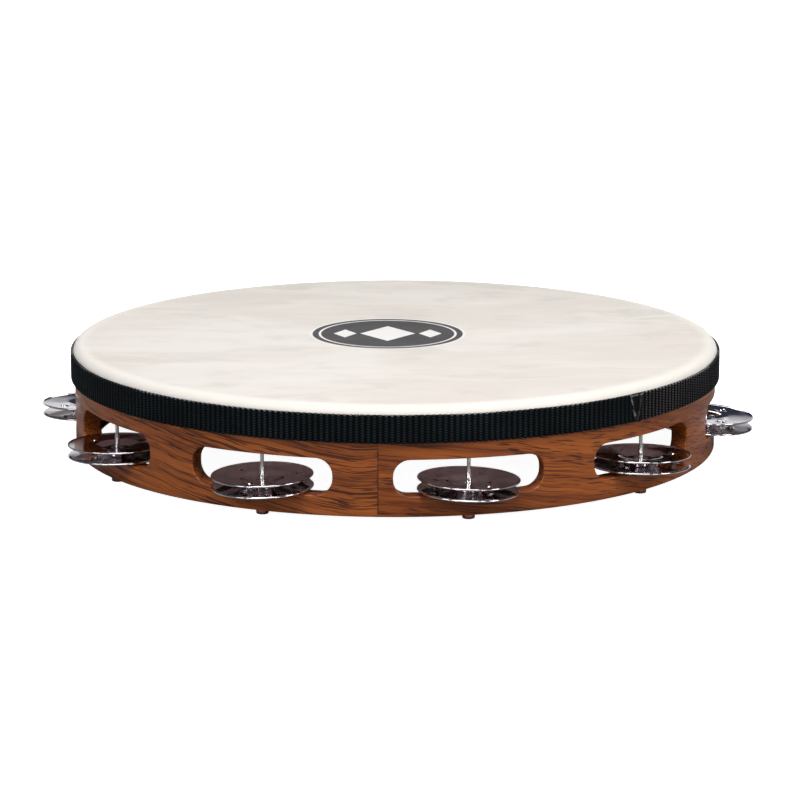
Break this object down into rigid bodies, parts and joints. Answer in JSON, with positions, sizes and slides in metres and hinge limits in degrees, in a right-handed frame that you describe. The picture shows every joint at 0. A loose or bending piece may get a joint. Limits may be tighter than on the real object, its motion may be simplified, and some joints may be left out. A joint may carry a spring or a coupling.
{
  "type": "tambourine",
  "caption": "Round hand frame drum with a stretched skin head, a webbing trim band and pairs of loose metal jingles that rattle in slots in a bent wooden hoop.",
  "frame": {"origin": "centre of the hoop, at the height of the nail heads' lower faces, which is what the part stands on", "axes": "+Z along the hoop's axis from the open side up to the head; -Y is the front, where the glued joint of the hoop is; +X to the right seen from the front"},
  "size_m": [0.2835, 0.2787, 0.0435],
  "materials": {
    "wood": "clear gloss lacquer",
    "skin": "dry translucent rawhide",
    "webbing": "ribbed grosgrain weave",
    "jingle_steel": "polished plate",
    "nail_steel": "bright drawn wire",
    "tack_steel": "blued steel"
  },
  "bodies": {
    "frame": {"hoop": "wood", "skin": "skin", "trim_band": "webbing", "trim_fold": "webbing", "skin_tacks": "tack_steel", "nail_01": "nail_steel", "nail_02": "nail_steel", "nail_03": "nail_steel", "nail_04": "nail_steel", "nail_05": "nail_steel", "nail_06": "nail_steel", "nail_07": "nail_steel", "nail_08": "nail_steel", "nail_09": "nail_steel", "nail_10": "nail_steel"},
    "jingle_01_lower": {"jingle_01_lower": "jingle_steel"},
    "jingle_01_upper": {"jingle_01_upper": "jingle_steel"},
    "jingle_02_lower": {"jingle_02_lower": "jingle_steel"},
    "jingle_02_upper": {"jingle_02_upper": "jingle_steel"},
    "jingle_03_lower": {"jingle_03_lower": "jingle_steel"},
    "jingle_03_upper": {"jingle_03_upper": "jingle_steel"},
    "jingle_04_lower": {"jingle_04_lower": "jingle_steel"},
    "jingle_04_upper": {"jingle_04_upper": "jingle_steel"},
    "jingle_05_lower": {"jingle_05_lower": "jingle_steel"},
    "jingle_05_upper": {"jingle_05_upper": "jingle_steel"},
    "jingle_06_lower": {"jingle_06_lower": "jingle_steel"},
    "jingle_06_upper": {"jingle_06_upper": "jingle_steel"},
    "jingle_07_lower": {"jingle_07_lower": "jingle_steel"},
    "jingle_07_upper": {"jingle_07_upper": "jingle_steel"},
    "jingle_08_lower": {"jingle_08_lower": "jingle_steel"},
    "jingle_08_upper": {"jingle_08_upper": "jingle_steel"},
    "jingle_09_lower": {"jingle_09_lower": "jingle_steel"},
    "jingle_09_upper": {"jingle_09_upper": "jingle_steel"},
    "jingle_10_lower": {"jingle_10_lower": "jingle_steel"},
    "jingle_10_upper": {"jingle_10_upper": "jingle_steel"}
  },
  "joints": [
    {"name": "jingle_01_lower_slide", "type": "slide", "parent": "frame", "child": "jingle_01_lower", "axis": [0, 0, 1], "range_m": [0, 0.0034]},
    {"name": "jingle_01_upper_slide", "type": "slide", "parent": "jingle_01_lower", "child": "jingle_01_upper", "axis": [0, 0, 1], "range_m": [0, 0.0034]},
    {"name": "jingle_02_lower_slide", "type": "slide", "parent": "frame", "child": "jingle_02_lower", "axis": [0, 0, 1], "range_m": [0, 0.0033]},
    {"name": "jingle_02_upper_slide", "type": "slide", "parent": "jingle_02_lower", "child": "jingle_02_upper", "axis": [0, 0, 1], "range_m": [0, 0.0033]},
    {"name": "jingle_03_lower_slide", "type": "slide", "parent": "frame", "child": "jingle_03_lower", "axis": [0, 0, 1], "range_m": [0, 0.0038]},
    {"name": "jingle_03_upper_slide", "type": "slide", "parent": "jingle_03_lower", "child": "jingle_03_upper", "axis": [0, 0, 1], "range_m": [0, 0.0038]},
    {"name": "jingle_04_lower_slide", "type": "slide", "parent": "frame", "child": "jingle_04_lower", "axis": [0, 0, 1], "range_m": [0, 0.0035]},
    {"name": "jingle_04_upper_slide", "type": "slide", "parent": "jingle_04_lower", "child": "jingle_04_upper", "axis": [0, 0, 1], "range_m": [0, 0.0035]},
    {"name": "jingle_05_lower_slide", "type": "slide", "parent": "frame", "child": "jingle_05_lower", "axis": [0, 0, 1], "range_m": [0, 0.0036]},
    {"name": "jingle_05_upper_slide", "type": "slide", "parent": "jingle_05_lower", "child": "jingle_05_upper", "axis": [0, 0, 1], "range_m": [0, 0.0036]},
    {"name": "jingle_06_lower_slide", "type": "slide", "parent": "frame", "child": "jingle_06_lower", "axis": [0, 0, 1], "range_m": [0, 0.0037]},
    {"name": "jingle_06_upper_slide", "type": "slide", "parent": "jingle_06_lower", "child": "jingle_06_upper", "axis": [0, 0, 1], "range_m": [0, 0.0037]},
    {"name": "jingle_07_lower_slide", "type": "slide", "parent": "frame", "child": "jingle_07_lower", "axis": [0, 0, 1], "range_m": [0, 0.0035]},
    {"name": "jingle_07_upper_slide", "type": "slide", "parent": "jingle_07_lower", "child": "jingle_07_upper", "axis": [0, 0, 1], "range_m": [0, 0.0035]},
    {"name": "jingle_08_lower_slide", "type": "slide", "parent": "frame", "child": "jingle_08_lower", "axis": [0, 0, 1], "range_m": [0, 0.0036]},
    {"name": "jingle_08_upper_slide", "type": "slide", "parent": "jingle_08_lower", "child": "jingle_08_upper", "axis": [0, 0, 1], "range_m": [0, 0.0036]},
    {"name": "jingle_09_lower_slide", "type": "slide", "parent": "frame", "child": "jingle_09_lower", "axis": [0, 0, 1], "range_m": [0, 0.0037]},
    {"name": "jingle_09_upper_slide", "type": "slide", "parent": "jingle_09_lower", "child": "jingle_09_upper", "axis": [0, 0, 1], "range_m": [0, 0.0037]},
    {"name": "jingle_10_lower_slide", "type": "slide", "parent": "frame", "child": "jingle_10_lower", "axis": [0, 0, 1], "range_m": [0, 0.0037]},
    {"name": "jingle_10_upper_slide", "type": "slide", "parent": "jingle_10_lower", "child": "jingle_10_upper", "axis": [0, 0, 1], "range_m": [0, 0.0037]}
  ]
}
